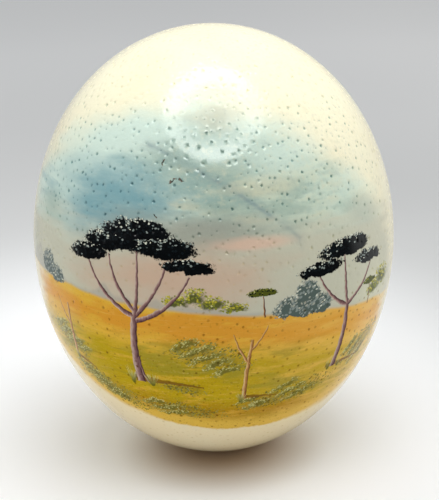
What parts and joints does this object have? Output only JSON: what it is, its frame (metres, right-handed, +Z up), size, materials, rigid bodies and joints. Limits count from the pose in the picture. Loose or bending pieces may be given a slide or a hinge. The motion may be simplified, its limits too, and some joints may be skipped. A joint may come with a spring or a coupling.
{
  "type": "decorated ostrich egg",
  "caption": "Blown ostrich egg with a pitted, varnished shell painted with a savanna landscape, standing wide end up on a small flat spot.",
  "frame": {"origin": "centre of the flat spot that the egg stands on", "axes": "+Z up the egg's axis to its wider end; -Y is the front, where the landscape is painted"},
  "size_m": [0.127, 0.1268, 0.1532],
  "materials": {
    "shell": "cream eggshell with pore pits, a painted landscape round the front half and a glossy clear varnish"
  },
  "bodies": {
    "root": {"ostrich_egg": "shell"}
  },
  "joints": []
}
